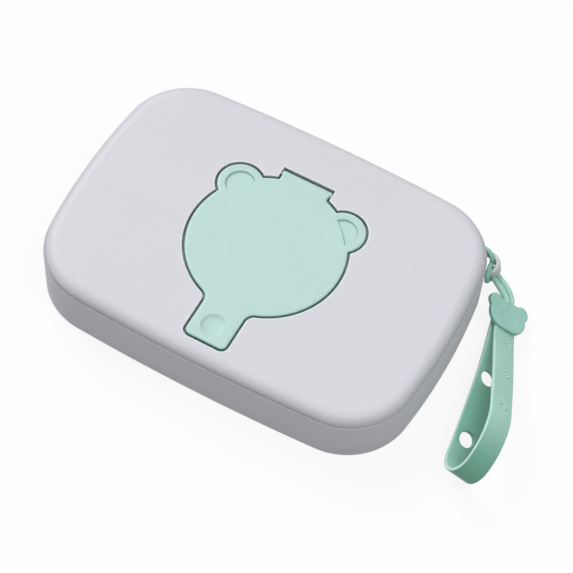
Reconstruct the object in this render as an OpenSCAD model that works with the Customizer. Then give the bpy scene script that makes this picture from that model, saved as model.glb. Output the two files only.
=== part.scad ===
// Refillable travel case for wet wipes: a two-part shell that opens on a hinge along its back,
// a flush flip lid over the dispensing hole, and a soft wrist strap on a lug at one back corner.
// Origin: middle of the flat underside. X runs along the case, Y from front to back, Z up.

/* [Case] */
// Length along X, over the bowed short sides
case_l = 190; // [170:1:230]
// Width along Y, over the bowed long sides
case_w = 134.8; // [130:0.2:162]
// Height from the table to the flat top
case_h = 31; // [29:0.5:45]
// Radius of the four corners in plan
corner_r = 32.9; // [26:0.1:40]
// How far the long sides bow outwards
bow_long = 1.7; // [0.8:0.1:3]
// How far the short sides bow outwards
bow_short = 2.1; // [0.8:0.1:3]
// Wall of the tray
wall_t = 2; // [1.6:0.1:2.2]
// Floor of the tray
floor_t = 2; // [1.4:0.1:3]
// Rounding under the tray
foot_r = 1.5; // [0.5:0.1:2.5]
// Rounding on the tray's rim
rim_r = 0.6; // [0.3:0.1:1]
// Depth of the cover's side, from the parting line to the flat top
cover_side_h = 5; // [4.8:0.1:6]
// Gap along the parting line
seam_gap = 0.3; // [0.2:0.05:0.5]
// Thickness of the cover's top
cover_t = 2.2; // [1.8:0.1:2.6]
// Thickness of the cover's skirt
skirt_t = 2.2; // [1.8:0.1:2.4]
// Radius of the soft edge round the top
edge_r = 7.2; // [6.8:0.1:8]
// How far the soft edge reaches in from the side
edge_in = 6.7; // [6:0.1:6.8]

/* [Register lip] */
// Thickness of the lip that stands up inside the cover's skirt
lip_t = 0.9; // [0.8:0.1:1.2]
// Height of the lip above the rim
lip_h = 1.2; // [0.8:0.1:1.4]
// Depth of the rib that carries the lip, below the rim
lip_root_h = 5; // [3:0.5:8]
// Clearance between the lip and the skirt
lip_gap = 0.3; // [0.25:0.05:0.4]

/* [Cover hinge] */
// Distance of each hinge station from the middle
station_x = 35; // [25:1:45]
// Width of the cover's knuckle
knuckle_w = 10; // [8:0.5:14]
// Width of each ear on the tray
ear_w = 3; // [2.5:0.5:5]
// Radius of knuckles and ears
hinge_r = 1.8; // [1.6:0.1:2]
// Radius of the hinge pins
hinge_pin_r = 0.9; // [0.7:0.05:1]
// How far the axis lies inside the widest line of the back
hinge_in = 0.9; // [0.7:0.1:1.1]
// How far the axis lies below the parting line
hinge_drop = 5; // [4.5:0.1:6]
// Air round the knuckle in its pocket
pocket_gap = 0.4; // [0.3:0.05:0.6]
// Wall behind the pocket
pocket_wall = 2; // [1.6:0.1:3]

/* [Flip lid] */
// Radius of the lid's round body
lid_r = 37.7; // [34:0.1:41]
// Radius of each ear
lid_ear_r = 11.3; // [9:0.1:13]
// How far an ear's centre lies inside the round body's edge
lid_ear_in = 1.8; // [0:0.1:4]
// Angle of an ear from the X axis
lid_ear_angle = 41.7; // [38:0.1:46]
// Thickness of the lid
lid_t = 2.3; // [2:0.1:2.6]
// Gap round the lid's outline
lid_gap = 0.55; // [0.4:0.05:0.8]
// Gap under the lid
lid_float = 0.3; // [0.25:0.05:0.4]
// Width of the thumb tab
thumb_w = 21.6; // [16:0.2:26]
// Length of the thumb tab past the round body
thumb_l = 19.9; // [12:0.1:20]
// Corner radius of the thumb tab
thumb_r = 3.3; // [2:0.1:5]
// Rounding where the thumb tab meets the round body
thumb_root_r = 5; // [3:0.5:8]
// Extra gap in front of the thumb tab
thumb_gap = 1; // [0.6:0.1:2]
// Radius of the dimple on the thumb tab
dimple_r = 5.85; // [4:0.05:8]
// Depth of the dimple
dimple_d = 0.8; // [0.4:0.1:1.2]
// Distance of the dimple from the tab's front edge
dimple_back = 9.3; // [8:0.1:11]
// Radius of the shallow inset in each ear
inset_r = 6.8; // [5:0.1:8]
// Depth of the ear insets
inset_d = 0.5; // [0.2:0.1:0.8]
// Width of the plain ring between the ear insets and the round body's edge
inset_in = 1.9; // [1:0.1:3]

/* [Lid hinge] */
// Width of the hinge tab
tab_w = 25.6; // [20:0.2:30]
// Length of the hinge tab past the round body
tab_l = 1.9; // [1.5:0.1:4]
// Radius of the lid's hinge barrel
barrel_r = 1.7; // [1.5:0.05:1.8]
// Depth of the lid's axis below the flat top
lid_axis_d = 1.9; // [1.85:0.05:2.1]
// Radius of the lid's pin
lid_pin_r = 0.8; // [0.6:0.05:0.9]
// How far the pin runs into the cover on each side
lid_pin_grip = 2; // [1.5:0.1:3]
// Room behind the hinge tab, for the open lid
slot_w = 2.4; // [2.2:0.1:4]

/* [Dispensing hole] */
// Radius of the hole in the cover
hole_r = 19; // [15:0.5:21]
// How far the insert's flange reaches past the hole
flange_w = 2; // [1.5:0.1:3]
// Thickness of the flange
flange_t = 0.9; // [0.7:0.1:1.1]
// Length of the insert's neck below the flange
neck_h = 1.9; // [1.6:0.1:2.4]
// Wall of the insert's neck
neck_t = 4; // [3:0.1:6]
// Thickness of the soft lips
lips_t = 0.9; // [0.6:0.1:1.2]
// Radius of the opening in the soft lips
lips_hole_r = 4.6; // [4.5:0.1:6]
// Number of slits in the soft lips
slit_count = 8; // [4:1:12]
// Length of each slit
slit_l = 6.5; // [4:0.5:8]
// Width of each slit
slit_w = 0.6; // [0.4:0.1:1]
// Distance of the lid's sealing ring from the flange
seal_off = 3; // [2.5:0.1:6]
// Width of the sealing ring
seal_w = 2.4; // [1.6:0.1:3]
// Depth of the ring's groove in the lid
seal_in = 0.6; // [0.4:0.1:0.9]
// How far the ring stands out under the lid
seal_out = 1.1; // [0.8:0.1:1.3]

/* [Strap lug] */
// Direction in which the lug points, from the X axis
lug_angle = 33.7; // [20:0.1:50]
// Height of the lug's middle
lug_z = 13.75; // [13:0.25:17]
// Outer radius of the lug's ring
lug_r = 6.4; // [6:0.1:7]
// Thickness of the ring's bar, seen from above
lug_bar = 2.2; // [1.8:0.1:2.4]
// Height of the ring's bar
lug_h = 4.5; // [3.5:0.1:5]
// How far the ring's centre lies outside the wall
lug_out = 1.5; // [1:0.1:2]
// Radius of the two pegs that hold the lug in the wall
lug_peg_r = 1; // [0.8:0.1:1.1]

/* [Strap] */
// Thickness of the cord that ties the strap to the lug
cord_d = 2.2; // [2:0.1:2.3]
// Width of the band
band_w = 12; // [9:0.5:15]
// Thickness of the band
band_t = 1.8; // [1.4:0.1:2]
// Radius of the holes in the band
band_hole_r = 3.5; // [2.8:0.1:4]
// Distance between holes, along the band
hole_pitch = 32.5; // [28:0.5:36]
// Half width of the stud's head, without its ears
stud_half_w = 10.5; // [9:0.1:12]
// Radius of the head's rounded sides
stud_r = 7.5; // [7:0.1:9]
// Thickness of the head
stud_t = 2.4; // [2:0.1:3]
// Radius of the head's ears
stud_ear_r = 3.8; // [2.5:0.1:4]
// Distance of the head's ears from its middle line
stud_ear_x = 7.8; // [7:0.1:9]
// Distance of the head's ears above its middle
stud_ear_y = 4.8; // [4:0.1:7]
// Radius of the peg that closes the loop
peg_r = 3; // [2:0.1:3.2]
// Radius of the knob on the peg
knob_r = 4.2; // [3.8:0.1:5]
// Thickness of the knob
knob_t = 1.2; // [0.8:0.1:1.4]

/* [Hidden] */
fit = 0.3;            // air between pieces that move past each other
run = 0.05;           // radial clearance of a running pin
seat = 0.01;          // radial clearance of a pin in its seat
eps = 0.01;
over = 1;             // how far a cutter runs past what it cuts, and a shape into the one it joins
seam_z = case_h - cover_side_h;

// The outline is eight arcs that meet without a corner: four sides and four corners.
in_x = case_l / 2 - corner_r - bow_short;
in_y = case_w / 2 - corner_r - bow_long;
long_r = (in_x * in_x + bow_long * bow_long) / (2 * bow_long);
short_r = (in_y * in_y + bow_short * bow_short) / (2 * bow_short);
long_half = asin(in_x / long_r);
short_half = asin(in_y / short_r);
long_c = in_y + bow_long - long_r;
short_c = in_x + bow_short - short_r;
// Each arc: centre, radius, first angle, sweep
ARCS = [
    [[short_c, 0], short_r + corner_r, -short_half, 2 * short_half],
    [[in_x, in_y], corner_r, short_half, 90 - long_half - short_half],
    [[0, long_c], long_r + corner_r, 90 - long_half, 2 * long_half],
    [[-in_x, in_y], corner_r, 90 + long_half, 90 - long_half - short_half],
    [[-short_c, 0], short_r + corner_r, 180 - short_half, 2 * short_half],
    [[-in_x, -in_y], corner_r, 180 + short_half, 90 - long_half - short_half],
    [[0, -long_c], long_r + corner_r, 270 - long_half, 2 * long_half],
    [[in_x, -in_y], corner_r, 270 + long_half, 90 - long_half - short_half]];
ARC_STEPS = 12;       // straight pieces in each arc of a plain outline
ARC_SIDES = 16;       // sides of each arc of a swept outline

lip_out = skirt_t + lip_gap;
lip_over = 0.6;                         // air over the lip
top_lap = 4;                            // how far the edge's profile runs into the flat top
lap_dip = 0.02;                         // it lies a hair lower there, so that no two faces share a plane
pin_in = 0.5;                           // depth of a hinge pin's end inside its ear
hinge_y = case_w / 2 - hinge_in;
hinge_z = seam_z - hinge_drop;
station_y = long_c + sqrt(pow(long_r + corner_r, 2) - pow(station_x, 2));
pocket_w = knuckle_w + 2 * pocket_gap;
pocket_y = hinge_y - hinge_r - fit;
pocket_z = hinge_z - hinge_r - pocket_gap;
hinge_pin_l = pocket_w + 2 * (ear_w - pin_in);

lid_z = case_h - lid_t;                 // underside of the lid
sill_z = lid_z - lid_float;             // floor of the recess that holds the lid
sill_t = 2;                             // thickness of that floor
lid_axis_z = case_h - lid_axis_d;
tab_reach = lid_r + tab_l;              // distances from the lid's centre
thumb_reach = lid_r + thumb_l;
dimple_at = thumb_reach - dimple_back;
lid_ear_at = lid_r - lid_ear_in;
lid_axis_in = 0.2;                      // how far the axis lies inside the tab's back edge
lid_axis_y = tab_reach - lid_axis_in;
well_gap = 0.5;
well_y = lid_axis_y - barrel_r - well_gap;  // front of the well round the barrel
well_z = lid_axis_z - barrel_r - fit;   // floor of the well
well_end = tab_reach + slot_w;
well_t = 1.7;                           // thickness of the well's floor
pan_rim = 3;                            // how far the thick floor reaches past the lid
catch_w = 8;                            // tongue under the thumb tab, in a slot of its own
catch_t = 1.2;
catch_h = 1.6;                          // depth of the slot
catch_gap = 0.6;
catch_wall = 1.4;
catch_front = 2;                        // how far the tongue lies in front of the dimple
catch_y = -dimple_at - catch_front;

flange_r = hole_r + flange_w;
insert_r = hole_r - neck_t;
neck_z = sill_z - flange_t - neck_h;    // lower end of the insert
lips_z = neck_z + 0.5;
lips_in = 1.5;                          // how far the lips run into the insert
seal_r = flange_r + seal_off + seal_w / 2;

lug_c = [in_x + corner_r * cos(lug_angle), in_y + corner_r * sin(lug_angle), lug_z];
bar_r = lug_r - lug_bar / 2;            // middle of the ring's bar
cord_r = cord_d / 2;
bar_flat = 0.2;                         // half of the flat between the bar's rounded corners
cord_air = 0.2;                         // air between the ring and the cord under it
swing_x = bar_r - 0.7;                  // axis of the strap's swing, out from the wall
swing_at = lug_c + [swing_x * cos(lug_angle), swing_x * sin(lug_angle), -lug_h / 2 - cord_r - cord_air];

// The strap's own frame: its X runs across the band and its Z out of the loop's upper face.
// It lies where it does from the axis of the swing, so the strap goes where the lug goes.
strap_at = swing_at + [18.05, -20.8, -1.5];
strap_dip = 35;
strap_turn = 10;
// The band's middle line, from the stud round the loop and back: length and turn of each stretch
BAND_START = [8, -2.4];
BAND_HEADING = 176;
BAND = [[20, -17], [45, 0], [30, 60], [25, 151], [45, -15], [31, 0], [4, 3]];
BAND_STEPS = 8;
band_split = -2.85;                     // level between the band's two ends, where they cross the peg
band_low = -8;                          // the holes are cut from below the band's tail ...
band_high = 4;                          // ... to inside the loop
knob_top = -5.7;

function arc(c, r, from, sweep, n) = [for (i = [0:n]) c + r * [cos(from + sweep * i / n), sin(from + sweep * i / n)]];
// The case's outline in plan, moved inwards by d, with no point where two arcs meet
function outline(d) = [for (a = ARCS) for (i = [0:ARC_STEPS - 1]) let (at = a[2] + a[3] * (i + 0.5) / ARC_STEPS)
    a[0] + (a[1] - d) * [cos(at), sin(at)]];

// A profile of (distance from the outline, height) carried round the case
module along_outline() {
    for (a = ARCS)
        translate(a[0]) rotate(a[2]) rotate_extrude(angle = a[3], $fn = round(ARC_SIDES * 360 / a[3]))
            translate([a[1], 0]) children();
}

module plate(d, z0, z1) translate([0, 0, z0]) linear_extrude(z1 - z0) polygon(outline(d));

module mirrored() {
    children();
    mirror([1, 0, 0]) children();
}

module along_x(w) rotate([90, 0, 90]) linear_extrude(w, center = true) children();

// ---- tray ----

module tray_profile() polygon(concat(
    [[-wall_t - over, 0]],
    arc([-foot_r, foot_r], foot_r, -90, 90, 5),
    arc([-rim_r, seam_z - rim_r], rim_r, 0, 90, 4),
    [[-lip_out, seam_z], [-lip_out, seam_z + lip_h],
     [-lip_out - lip_t, seam_z + lip_h], [-lip_out - lip_t, seam_z - lip_root_h + lip_t],
     [-wall_t, seam_z - lip_root_h - over], [-wall_t, floor_t], [-wall_t - over, floor_t]]));

module station_boss() {
    w = pocket_w + 2 * ear_w;
    translate([station_x - w / 2, pocket_y - pocket_wall, pocket_z - pocket_wall])
        cube([w, station_y - rim_r - pocket_y + pocket_wall, seam_z - pocket_z + pocket_wall]);
    translate([station_x, hinge_y, hinge_z]) rotate([0, 90, 0]) cylinder(h = w, r = hinge_r, center = true, $fn = 48);
}

module station_pocket() {
    translate([station_x - pocket_w / 2, pocket_y, pocket_z]) cube([pocket_w, case_h, case_h]);
    translate([station_x, hinge_y, hinge_z]) rotate([0, 90, 0])
        cylinder(h = hinge_pin_l + fit, r = hinge_pin_r + seat, center = true, $fn = 48);
}

module in_lug_frame() translate(lug_c) rotate(lug_angle) children();

// The two pegs stand where the ring's bar meets the wall.
module lug_pegs(r, l) {
    for (s = [-1, 1])
        translate([-l, s * sqrt(pow(bar_r, 2) - pow(lug_out, 2)), 0])
            rotate([0, 90, 0]) cylinder(h = l + lug_out, r = r, $fn = 32);
}

module base_tray() color([0.84, 0.84, 0.87]) difference() {
    union() {
        along_outline() tray_profile();
        plate(wall_t + over / 2, 0, floor_t);
        mirrored() station_boss();
    }
    mirrored() station_pocket();
    in_lug_frame() lug_pegs(lug_peg_r + seat, 2 * wall_t);
}

module hinge_pin(s) color([0.75, 0.76, 0.78])
    translate([s * station_x, hinge_y, hinge_z]) rotate([0, 90, 0])
        cylinder(h = hinge_pin_l, r = hinge_pin_r, center = true, $fn = 48);

module hinge_pin_left() hinge_pin(-1);

module hinge_pin_right() hinge_pin(1);

// ---- lid outline, shared by the lid and by its recess ----

module thumb_fillet(gap) {
    r = thumb_root_r - gap;
    x = thumb_w / 2 + thumb_root_r;
    y = sqrt(pow(lid_r + thumb_root_r, 2) - x * x);
    difference() {
        polygon([[0, 0], [x, -y], [0, -y]]);
        translate([x, -y]) circle(r, $fn = 64);
    }
}

module thumb_outline(gap, front) {
    w = thumb_w / 2 + gap;
    r = thumb_r + gap;
    y = -thumb_reach - front;
    translate([-w, y + r]) square([2 * w, -y - r]);
    translate([r - w, y]) square([2 * (w - r), r + 1]);
    for (s = [-1, 1]) translate([s * (w - r), y + r]) circle(r, $fn = 64);
}

module lid_outline(gap, front, back) {
    circle(lid_r + gap, $fn = 180);
    mirrored() {
        rotate(lid_ear_angle) translate([lid_ear_at, 0]) circle(lid_ear_r + gap, $fn = 96);
        thumb_fillet(gap);
    }
    thumb_outline(gap, front);
    translate([-tab_w / 2 - gap, 0]) square([tab_w + 2 * gap, back]);
}

module tube(r_out, r_in, z0, z1) translate([0, 0, z0]) difference() {
    cylinder(h = z1 - z0, r = r_out, $fn = 144);
    translate([0, 0, -over]) cylinder(h = z1 - z0 + 2 * over, r = r_in, $fn = 144);
}

module x_rod(y, z, l, r) translate([0, y, z]) rotate([0, 90, 0]) cylinder(h = l, r = r, center = true, $fn = 48);

// ---- cover ----

module cover_profile() polygon(concat(
    [[0, seam_z + seam_gap]],
    arc([-edge_in, case_h - edge_r], edge_r, acos(edge_in / edge_r), 90 - acos(edge_in / edge_r), 12),
    [[-edge_in - top_lap, case_h - lap_dip], [-edge_in - top_lap, case_h - cover_t - lap_dip],
     [-lip_out - lip_t - fit, seam_z + lip_h + lip_over + fit], [-skirt_t, seam_z + lip_h + lip_over],
     [-skirt_t, seam_z + seam_gap]]));

// Thick floor under the lid, with room for the hinge well and for the catch
module cover_pan() {
    translate([0, 0, sill_z - sill_t]) linear_extrude(case_h - cover_t - sill_z + sill_t + eps)
        lid_outline(lid_gap + pan_rim, 0, well_end + pan_rim);
    translate([-tab_w / 2 - pan_rim, well_y - well_t, well_z - well_t])
        cube([tab_w + 2 * pan_rim, well_end - well_y + 2 * well_t, sill_z - well_z + well_t]);
    pad = catch_gap + catch_wall;
    translate([-catch_w / 2 - pad, catch_y - catch_t / 2 - pad, sill_z - catch_h - catch_wall])
        cube([catch_w + 2 * pad, catch_t + 2 * pad, catch_h + catch_wall]);
}

module cover_arm() {
    translate([station_x - knuckle_w / 2, hinge_y - hinge_r, hinge_z])
        cube([knuckle_w, hinge_r + station_y - hinge_y - rim_r, seam_z + seam_gap - hinge_z + over]);
    translate([station_x, hinge_y, hinge_z]) rotate([0, 90, 0])
        cylinder(h = knuckle_w, r = hinge_r, center = true, $fn = 48);
}

module top_cover() color([0.86, 0.86, 0.89]) difference() {
    union() {
        along_outline() cover_profile();
        plate(edge_in + top_lap / 2, case_h - cover_t, case_h);
        cover_pan();
        mirrored() cover_arm();
    }
    translate([0, 0, sill_z]) linear_extrude(lid_t + over) lid_outline(lid_gap, thumb_gap, well_end);
    translate([-tab_w / 2 - lid_gap, well_y, well_z]) cube([tab_w + 2 * lid_gap, well_end - well_y, case_h]);
    x_rod(lid_axis_y, lid_axis_z, tab_w + 2 * (lid_gap + lid_pin_grip), lid_pin_r + seat);
    translate([0, 0, well_z - 2 * well_t]) cylinder(h = case_h, r = hole_r, $fn = 144);
    translate([0, 0, sill_z - flange_t]) cylinder(h = case_h, r = flange_r + fit, $fn = 144);
    tube(seal_r + seal_w / 2 + fit, seal_r - seal_w / 2 - fit, lid_z - seal_out - fit, sill_z + over);
    translate([-catch_w / 2 - catch_gap, catch_y - catch_t / 2 - catch_gap, sill_z - catch_h])
        cube([catch_w + 2 * catch_gap, catch_t + 2 * catch_gap, catch_h + over]);
    for (s = [-1, 1]) translate([s * station_x, hinge_y, hinge_z]) rotate([0, 90, 0])
        cylinder(h = knuckle_w + 2 * over, r = hinge_pin_r + run, center = true, $fn = 48);
}

// White ring that lines the dispensing hole: a flange on the recess floor and a neck through it
module orifice_ring() color([0.93, 0.93, 0.95]) difference() {
    union() {
        tube(flange_r, insert_r, sill_z - flange_t, sill_z);
        tube(hole_r - seat, insert_r, neck_z, sill_z - flange_t + eps);
    }
    translate([0, 0, lips_z]) cylinder(h = lips_t, r = insert_r + lips_in, $fn = 144);
}

// Soft disc with a star of slits, held in the ring's inner groove
module orifice_lips() color([0.62, 0.83, 0.75])
    translate([0, 0, lips_z]) difference() {
        cylinder(h = lips_t, r = insert_r + lips_in, $fn = 144);
        translate([0, 0, -over]) cylinder(h = lips_t + 2 * over, r = lips_hole_r, $fn = 72);
        for (i = [0:slit_count - 1]) rotate(i * 360 / slit_count)
            translate([0, -slit_w / 2, -over]) cube([lips_hole_r + slit_l, slit_w, lips_t + 2 * over]);
    }

module lid_pin() color([0.75, 0.76, 0.78])
    x_rod(lid_axis_y, lid_axis_z, tab_w + 2 * (lid_gap + lid_pin_grip) - fit, lid_pin_r);

// ---- lid ----

module ear_inset() {
    rotate(lid_ear_angle) difference() {
        translate([lid_ear_at, 0]) circle(inset_r, $fn = 96);
        circle(lid_r - inset_in, $fn = 180);
    }
}

module flip_lid() color([0.67, 0.86, 0.80]) difference() {
    union() {
        translate([0, 0, lid_z]) linear_extrude(lid_t) lid_outline(0, 0, tab_reach);
        x_rod(lid_axis_y, lid_axis_z, tab_w, barrel_r);
        translate([-catch_w / 2, catch_y - catch_t / 2, sill_z - catch_h + catch_gap])
            cube([catch_w, catch_t, catch_h - catch_gap + lid_float + eps]);
    }
    x_rod(lid_axis_y, lid_axis_z, tab_w + 2 * over, lid_pin_r + run);
    tube(seal_r + seal_w / 2, seal_r - seal_w / 2, lid_z - over, lid_z + seal_in);
    mirrored() translate([0, 0, case_h - inset_d]) linear_extrude(over) ear_inset();
    dimple_ball = (dimple_r * dimple_r + dimple_d * dimple_d) / (2 * dimple_d);
    translate([0, -dimple_at, case_h - dimple_d + dimple_ball]) sphere(dimple_ball, $fn = 180);
}

module lid_seal() color([0.90, 0.92, 0.92])
    tube(seal_r + seal_w / 2, seal_r - seal_w / 2, lid_z - seal_out, lid_z + seal_in);

// ---- lug ----

module strap_lug() color([0.93, 0.93, 0.93]) in_lug_frame() {
    difference() {
        translate([lug_out, 0, 0]) rotate_extrude($fn = 96) translate([bar_r, 0]) bar_section();
        translate([-corner_r, 0, -lug_h]) cylinder(h = 2 * lug_h, r = corner_r, $fn = 360);
    }
    difference() {
        lug_pegs(lug_peg_r, wall_t);
        translate([-corner_r, 0, -lug_h]) cylinder(h = 2 * lug_h, r = corner_r - wall_t, $fn = 360);
    }
}

// The ring's bar: a rectangle with rounded corners
module bar_section() {
    r = lug_bar / 2 - bar_flat;
    square([lug_bar, lug_h - 2 * r], center = true);
    square([lug_bar - 2 * r, lug_h], center = true);
    for (x = [-1, 1], y = [-1, 1])
        translate([x * (lug_bar / 2 - r), y * (lug_h / 2 - r)]) circle(r, $fn = 32);
}

// ---- cord: a round tube along points, closed at both ends ----

function unit(v) = v / norm(v);
function bezier(p, t) = let (s = 1 - t)
    s * s * s * p[0] + 3 * s * s * t * p[1] + 3 * s * t * t * p[2] + t * t * t * p[3];
// A smooth line through the points of a route, as one curve between each pair
function smooth(p, n) = let (m = len(p) - 1) concat(
    [for (i = [0:m - 1])
        let (a = i == 0 ? p[1] - p[0] : (p[i + 1] - p[i - 1]) / 2)
        let (b = i == m - 1 ? p[m] - p[m - 1] : (p[i + 2] - p[i]) / 2)
        for (k = [0:n - 1]) bezier([p[i], p[i] + a / 3, p[i + 1] - b / 3, p[i + 1]], k / n)],
    [p[m]]);
function heading(p, i) = unit(p[min(i + 1, len(p) - 1)] - p[max(i - 1, 0)]);
// The side direction of each ring, turned as little as possible from the one before
function sides(p, first, i = 0, out = []) = i == len(p) ? out :
    let (h = heading(p, i), s = i == 0 ? first : out[i - 1])
    sides(p, first, i + 1, concat(out, [unit(s - h * (s * h))]));

module cord(route, first, per = 3, n = 8) {
    p = smooth(route, per);
    s = sides(p, first);
    rings = [for (i = [0:len(p) - 1]) let (h = heading(p, i), t = cross(h, s[i]))
        for (k = [0:n - 1]) p[i] + cord_r * (s[i] * cos(360 * k / n) + t * sin(360 * k / n))];
    last = len(p) - 1;
    faces = concat(
        [[for (k = [0:n - 1]) k]],
        [for (i = [0:last - 1], k = [0:n - 1]) let (a = i * n + k, b = i * n + (k + 1) % n) [a, a + n, b]],
        [for (i = [0:last - 1], k = [0:n - 1]) let (a = i * n + k, b = i * n + (k + 1) % n) [b, a + n, b + n]],
        [[for (k = [n - 1:-1:0]) last * n + k]]);
    polyhedron(rings, faces);
}

// Half of the hitch, in the lug's frame: through the ring, over its side bar and under the cord
HITCH = [[4.2, 1.3, -2.1], [4.1, 1.4, 0], [3.7, 2.2, 2.4], [3, 4.2, 3.7], [2, 6.1, 3.6], [1.2, 7.7, 2.2],
    [0.9, 8.2, 0], [1.3, 7.8, -2.8], [2.7, 6, -5.5], [5.2, 2.8, -6.3], [6, 0, -6.4]];
hitch_route = concat(HITCH, [for (i = [len(HITCH) - 2:-1:0]) [HITCH[i][0], -HITCH[i][1], HITCH[i][2]]]);

module strap_hitch() color([0.60, 0.80, 0.73]) in_lug_frame() cord(hitch_route, [1, 0, 0], 2);

// ---- strap ----

module in_strap_frame() translate(strap_at) rotate([0, strap_dip, strap_turn]) children();

STUD_TILT = 6;
STUD_TURN = 6.7;
stud_at = [-1.2, 0.6, -0.35];
peg_up = 1;                             // how far the peg runs up into the head

// Two cords side by side, from under the lug to the stud, as seen from the axis of the swing
CORD_A = [[-0.9, -0.9, 0], [0.7, -2.6, 0], [2.8, -4.4, 0], [7, -7.2, 0], [10.8, -10.1, 0.3],
    [13.8, -13.2, 0.6], [14.6, -15, 0.6]];
CORD_B = [[0.8, 0.9, 0], [2.8, -1, 0], [5.6, -3.1, 0], [9.4, -5.3, -0.1], [12.8, -7.8, -0.4],
    [15.6, -11, -0.8], [16.4, -13.6, -1]];

module strap_cord() color([0.60, 0.80, 0.73]) translate(swing_at) {
    cord(CORD_A, [0, 0, 1]);
    cord(CORD_B, [0, 0, 1]);
}

// The head is moulded onto the band's end, so it fits round it.
module strap_stud() color([0.55, 0.75, 0.69]) in_strap_frame() {
    difference() {
        rotate([-STUD_TILT, 0, 0]) translate(stud_at) rotate(STUD_TURN) linear_extrude(stud_t) {
            square([2 * (stud_half_w - stud_r), 2 * stud_r], center = true);
            for (s = [-1, 1]) {
                translate([s * (stud_half_w - stud_r), 0]) circle(stud_r, $fn = 96);
                translate([s * stud_ear_x, stud_ear_y]) circle(stud_ear_r, $fn = 64);
            }
        }
        band_body();
    }
    translate([0, 0, knob_top]) cylinder(h = stud_at[2] + peg_up - knob_top, r = peg_r, $fn = 64);
    translate([0, 0, knob_top - knob_t + eps]) cylinder(h = knob_t, r = knob_r, $fn = 64);
}

// Points of a line that runs on by length and turns by an angle, stretch after stretch
function walk(legs, at, dir, i = 0, k = 0) = i == len(legs) ? [[at, dir]] :
    let (l = legs[i][0] / BAND_STEPS, turn = legs[i][1] / BAND_STEPS)
    let (next = at + l * [cos(dir + turn / 2), sin(dir + turn / 2)], done = k == BAND_STEPS - 1)
    concat([[at, dir]], walk(legs, next, dir + turn, done ? i + 1 : i, done ? 0 : k + 1));

function beside(line, d) = [for (p = line) p[0] + d * [-sin(p[1]), cos(p[1])]];
function backwards(list) = [for (i = [len(list) - 1:-1:0]) list[i]];

module band_body() {
    line = walk(BAND, BAND_START, BAND_HEADING);
    along_x(band_w) polygon(concat(beside(line, band_t / 2), backwards(beside(line, -band_t / 2))));
}

module strap_band() color([0.64, 0.83, 0.76]) in_strap_frame() difference() {
    band_body();
    translate([0, 0, band_split]) cylinder(h = 2 * band_t, r = peg_r + seat, $fn = 64);
    for (i = [0:2]) translate([0, -i * hole_pitch, band_low])
        cylinder(h = (i == 0 ? band_split : band_high) - band_low, r = band_hole_r, $fn = 64);
}

base_tray();
hinge_pin_left();
hinge_pin_right();
strap_lug();
strap_hitch();
top_cover();
orifice_ring();
orifice_lips();
lid_pin();
flip_lid();
lid_seal();
strap_cord();
strap_stud();
strap_band();
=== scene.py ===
import math

import bmesh
import bpy
from mathutils import Matrix, Vector


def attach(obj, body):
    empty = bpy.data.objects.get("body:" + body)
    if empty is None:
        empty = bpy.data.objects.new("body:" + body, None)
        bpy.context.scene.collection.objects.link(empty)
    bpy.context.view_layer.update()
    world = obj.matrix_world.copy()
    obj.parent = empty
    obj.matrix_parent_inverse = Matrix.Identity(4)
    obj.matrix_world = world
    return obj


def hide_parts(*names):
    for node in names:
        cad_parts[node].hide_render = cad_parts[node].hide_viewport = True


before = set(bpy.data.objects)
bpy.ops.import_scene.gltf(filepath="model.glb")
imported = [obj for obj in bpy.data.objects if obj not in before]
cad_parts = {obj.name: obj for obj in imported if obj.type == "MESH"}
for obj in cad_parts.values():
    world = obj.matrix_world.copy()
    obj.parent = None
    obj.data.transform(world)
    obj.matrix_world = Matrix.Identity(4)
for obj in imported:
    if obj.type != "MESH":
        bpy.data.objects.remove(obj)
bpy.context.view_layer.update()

mm = 0.001  # every shape is drawn in millimetres and then brought to metres


def placed(name, data):  # a new object in the scene
    made = bpy.data.objects.new(name, data)
    bpy.context.collection.objects.link(made)
    return made


def turned(degrees, axis):
    return Matrix.Rotation(math.radians(degrees), 4, axis)


shot = {
    "turn": 25.93, "height": 58.81, "roll": 3.518,  # degrees
    "distance": 0.978, "lens": 131.62,
    "shiftX": 0.0393, "shiftY": -0.0103,
}


def placeCamera():
    turn, height, roll = (math.radians(shot[key]) for key in ("turn", "height", "roll"))
    back = Vector((math.sin(turn) * math.cos(height), -math.cos(turn) * math.cos(height), math.sin(height)))
    side = Vector((0, 0, 1)).cross(back).normalized()
    up = back.cross(side)
    right = side * math.cos(roll) + up * math.sin(roll)
    top = up * math.cos(roll) - side * math.sin(roll)
    lens = bpy.data.cameras.new("camera")
    lens.sensor_width = 36
    lens.lens = shot["lens"]
    lens.shift_x, lens.shift_y = shot["shiftX"], shot["shiftY"]
    lens.clip_end = 20
    camera = placed("camera", lens)
    camera.matrix_world = (Matrix.Translation(back * shot["distance"])
                           @ Matrix((right, top, back)).transposed().to_4x4())
    bpy.context.scene.camera = camera


placeCamera()
print("camera placed")


class Wire:  # one output of a shader node, with arithmetic
    def __init__(self, finish, socket):
        self.finish, self.socket = finish, socket

    def worked(self, operation, first, second):
        return self.finish.add("ShaderNodeMath", {"operation": operation}, {0: first, 1: second})

    def __add__(self, other):
        return self.worked("ADD", self, other)

    def __radd__(self, other):
        return self.worked("ADD", other, self)

    def __sub__(self, other):
        return self.worked("SUBTRACT", self, other)

    def __rsub__(self, other):
        return self.worked("SUBTRACT", other, self)

    def __mul__(self, other):
        return self.worked("MULTIPLY", self, other)

    def __rmul__(self, other):
        return self.worked("MULTIPLY", other, self)


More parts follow.
